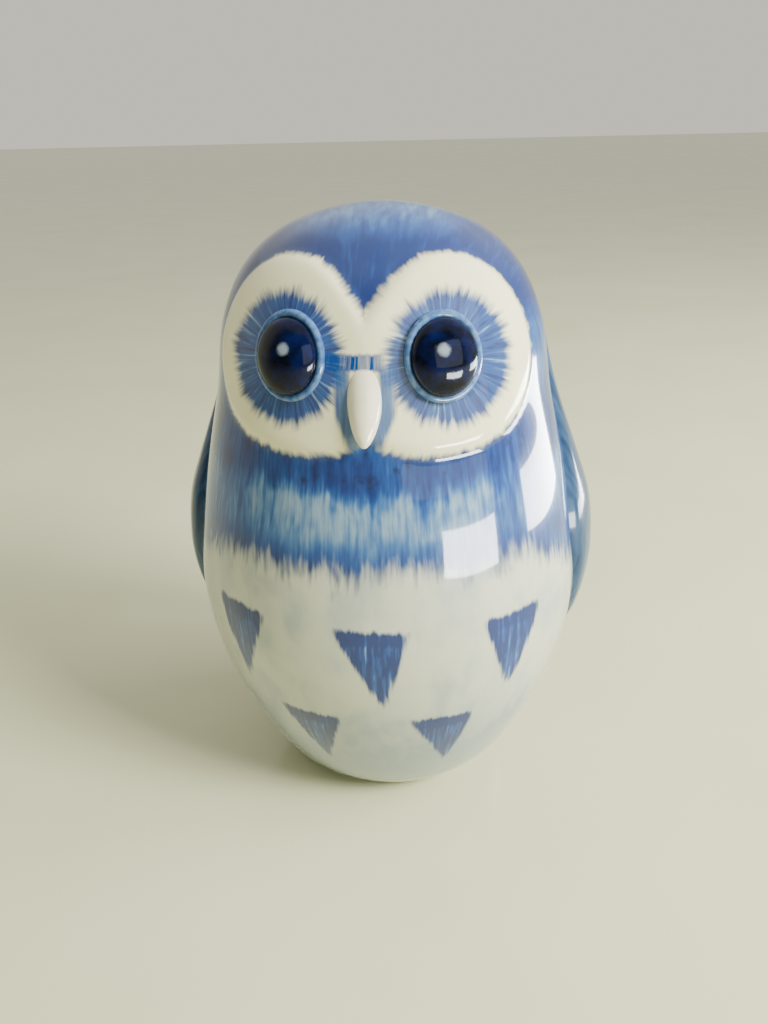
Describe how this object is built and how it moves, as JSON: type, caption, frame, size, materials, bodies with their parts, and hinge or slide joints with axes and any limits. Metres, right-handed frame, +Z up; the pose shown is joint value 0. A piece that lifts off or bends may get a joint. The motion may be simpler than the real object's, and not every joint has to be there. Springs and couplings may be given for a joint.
{
  "type": "owl figurine",
  "caption": "Seated round owl ornament in white porcelain painted blue, with domed eyes, drop beak, folded wings and short tail, hollow cast to stand on its foot ring.",
  "frame": {"origin": "bottom centre of the overall box: on the table, under the middle of the owl", "axes": "+Z up along the owl's height; the owl faces -Y and its own left wing is at +X"},
  "size_m": [0.085, 0.0684, 0.12],
  "materials": {
    "painted_glaze": "white porcelain with blue painting under a clear gloss glaze",
    "bare_porcelain": "unglazed, dry and slightly rough",
    "navy_glaze": "near-black navy under a very glossy glaze",
    "lid_glaze": "pale blue wash under gloss glaze",
    "ivory_glaze": "warm ivory under gloss glaze",
    "wing_glaze": "dark slate blue with darker feather strokes under gloss glaze",
    "tail_glaze": "cobalt blue feather strokes under gloss glaze"
  },
  "bodies": {
    "root": {"body_shell": "painted_glaze", "base_plate": "bare_porcelain", "eye_left": "navy_glaze", "eye_right": "navy_glaze", "eyelid_ring_left": "lid_glaze", "eyelid_ring_right": "lid_glaze", "beak": "ivory_glaze", "wing_left": "wing_glaze", "wing_right": "wing_glaze", "tail": "tail_glaze"}
  },
  "joints": []
}
